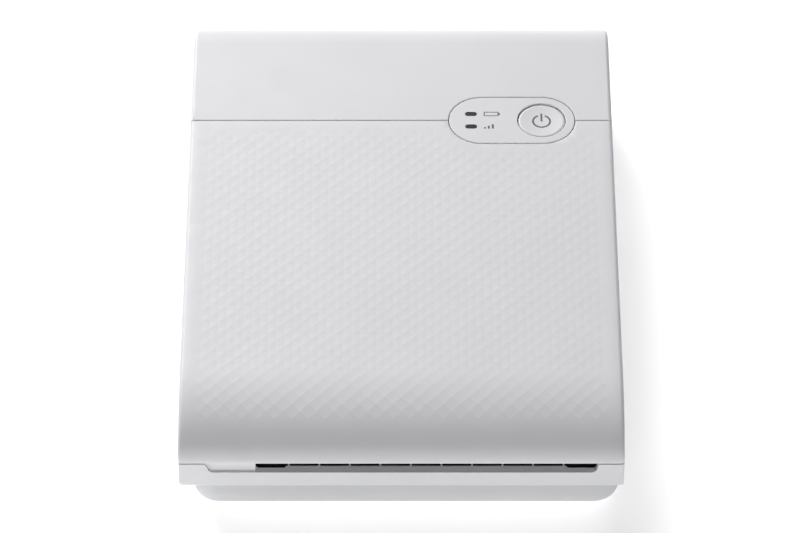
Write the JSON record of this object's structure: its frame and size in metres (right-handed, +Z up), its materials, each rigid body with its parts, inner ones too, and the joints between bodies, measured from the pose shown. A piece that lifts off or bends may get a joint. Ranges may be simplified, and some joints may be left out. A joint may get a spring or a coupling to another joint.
{
  "type": "compact photo printer",
  "caption": "Flat box-shaped photo printer with a hinged, diamond-relief paper cover, curved nose, front paper slot, oval control panel and side door.",
  "frame": {"origin": "middle of the case's footprint on the surface that it stands on", "axes": "+X to the right seen from the front, +Y to the rear, +Z up"},
  "size_m": [0.1022, 0.1432, 0.031],
  "materials": {
    "case_white": "fine matt moulding",
    "cover_white": "fine matt moulding",
    "panel_white": "satin moulding",
    "mark_grey": "printed grey",
    "window_grey": "smoked light guide",
    "black_plastic": "matt",
    "grey_plastic": "matt",
    "steel": "bright rolled sheet and ground shafts",
    "screw_steel": "dark zinc",
    "motor_steel": "plated can",
    "brass": "turned",
    "aluminium": "extruded",
    "ceramic": "glazed strip",
    "gear_nylon": "natural nylon",
    "spool_white": "moulded",
    "ribbon_yellow": "wound film",
    "ribbon_magenta": "film",
    "board_green": "solder mask",
    "battery_wrap": "shrink wrap",
    "rubber": "ground",
    "foot_rubber": "matt pads"
  },
  "bodies": {
    "root": {"lower_case": "case_white", "middle_frame": "case_white", "rear_cover": "cover_white", "hinge_pins": "steel", "control_bezel": "panel_white", "power_switch": "black_plastic", "button_board": "board_green", "upper_status_window": "window_grey", "lower_status_window": "window_grey", "paper_deck": "black_plastic", "paper_tray": "grey_plastic", "idler_stud": "steel", "feed_motor": "motor_steel", "left_side_plate": "steel", "right_side_plate": "steel", "rear_paper_guide": "black_plastic", "head_shaft": "steel", "cassette_frame": "grey_plastic", "ribbon_film": "ribbon_magenta", "door_pins": "steel", "main_board": "board_green", "battery_pack": "battery_wrap", "power_board": "board_green", "usb_socket": "steel", "case_screws": "screw_steel", "foot_left_front": "foot_rubber", "foot_left_rear": "foot_rubber", "foot_right_front": "foot_rubber", "foot_right_rear": "foot_rubber"},
    "cover": {"paper_cover": "cover_white", "hinge_arms": "steel"},
    "slider": {"release_slider": "cover_white"},
    "button": {"power_button": "panel_white", "power_symbol": "mark_grey"},
    "lift": {"lift_plate": "steel"},
    "pickup": {"pickup_shaft": "steel", "pickup_tyre": "rubber", "pickup_gear": "gear_nylon"},
    "feed": {"feed_roller": "steel", "feed_gear": "gear_nylon"},
    "pinch": {"pinch_roller": "rubber"},
    "idler": {"idler_gear": "gear_nylon"},
    "motor_rotor": {"motor_pinion": "brass"},
    "platen": {"platen_shaft": "steel", "platen_roller": "rubber"},
    "head": {"print_head": "ceramic", "head_heat_sink": "aluminium"},
    "supply": {"supply_spool": "spool_white", "supply_ribbon": "ribbon_yellow"},
    "take_up": {"take_up_spool": "spool_white", "take_up_ribbon": "ribbon_magenta", "take_up_gear": "gear_nylon"},
    "door": {"cassette_door": "case_white"}
  },
  "joints": [
    {"name": "cover_hinge", "type": "hinge", "parent": "root", "child": "cover", "pos_m": [0, 0.0369, 0.0272], "axis": [-1, 0, 0], "range_deg": [0, 75]},
    {"name": "slider_slide", "type": "slide", "parent": "root", "child": "slider", "axis": [0, -1, 0], "range_m": [0, 0.0025], "stiffness_N_per_m": 300, "springref_m": -0.001},
    {"name": "button_press", "type": "slide", "parent": "root", "child": "button", "axis": [0, 0, -1], "range_m": [0, 0.0005], "stiffness_N_per_m": 1500, "springref_m": -0.0002},
    {"name": "lift_hinge", "type": "hinge", "parent": "root", "child": "lift", "pos_m": [0.0057, -0.0385, 0.0209], "axis": [1, 0, 0], "range_deg": [0, 1.5]},
    {"name": "door_hinge", "type": "hinge", "parent": "root", "child": "door", "pos_m": [0.0494, 0.0452, 0.005], "axis": [0, 1, 0], "range_deg": [0, 90]},
    {"name": "head_pivot", "type": "hinge", "parent": "root", "child": "head", "pos_m": [0.0057, 0.0486, 0.0085], "axis": [1, 0, 0], "range_deg": [0, 6], "stiffness_Nm_per_rad": 0.05, "springref_deg": -5.73},
    {"name": "feed_spin", "type": "hinge", "parent": "root", "child": "feed", "pos_m": [0, 0.0245, 0.01613], "axis": [1, 0, 0], "continuous": true},
    {"name": "pickup_spin", "type": "hinge", "parent": "root", "child": "pickup", "pos_m": [0, 0.01711, 0.02558], "axis": [1, 0, 0], "continuous": true},
    {"name": "pinch_spin", "type": "hinge", "parent": "root", "child": "pinch", "pos_m": [0, 0.0245, 0.02187], "axis": [1, 0, 0], "continuous": true},
    {"name": "idler_spin", "type": "hinge", "parent": "root", "child": "idler", "pos_m": [0, 0.01354, 0.01124], "axis": [1, 0, 0], "continuous": true},
    {"name": "motor_spin", "type": "hinge", "parent": "root", "child": "motor_rotor", "pos_m": [0, 0.00355, 0.008], "axis": [1, 0, 0], "continuous": true},
    {"name": "take_up_spin", "type": "hinge", "parent": "root", "child": "take_up", "pos_m": [0, 0.03271, 0.0088], "axis": [1, 0, 0], "continuous": true},
    {"name": "supply_spin", "type": "hinge", "parent": "root", "child": "supply", "pos_m": [0, 0.0602, 0.0094], "axis": [1, 0, 0], "continuous": true},
    {"name": "platen_spin", "type": "hinge", "parent": "root", "child": "platen", "pos_m": [0, 0.044, 0.0241], "axis": [1, 0, 0], "continuous": true}
  ],
  "couplings": [
    {"joint": "pickup_spin", "follows": "feed_spin", "ratio": -3},
    {"joint": "pinch_spin", "follows": "feed_spin", "ratio": -1.619},
    {"joint": "idler_spin", "follows": "feed_spin", "ratio": -3},
    {"joint": "motor_spin", "follows": "feed_spin", "ratio": 7.5},
    {"joint": "take_up_spin", "follows": "feed_spin", "ratio": -0.83333},
    {"joint": "supply_spin", "follows": "feed_spin", "ratio": -0.54487}
  ]
}
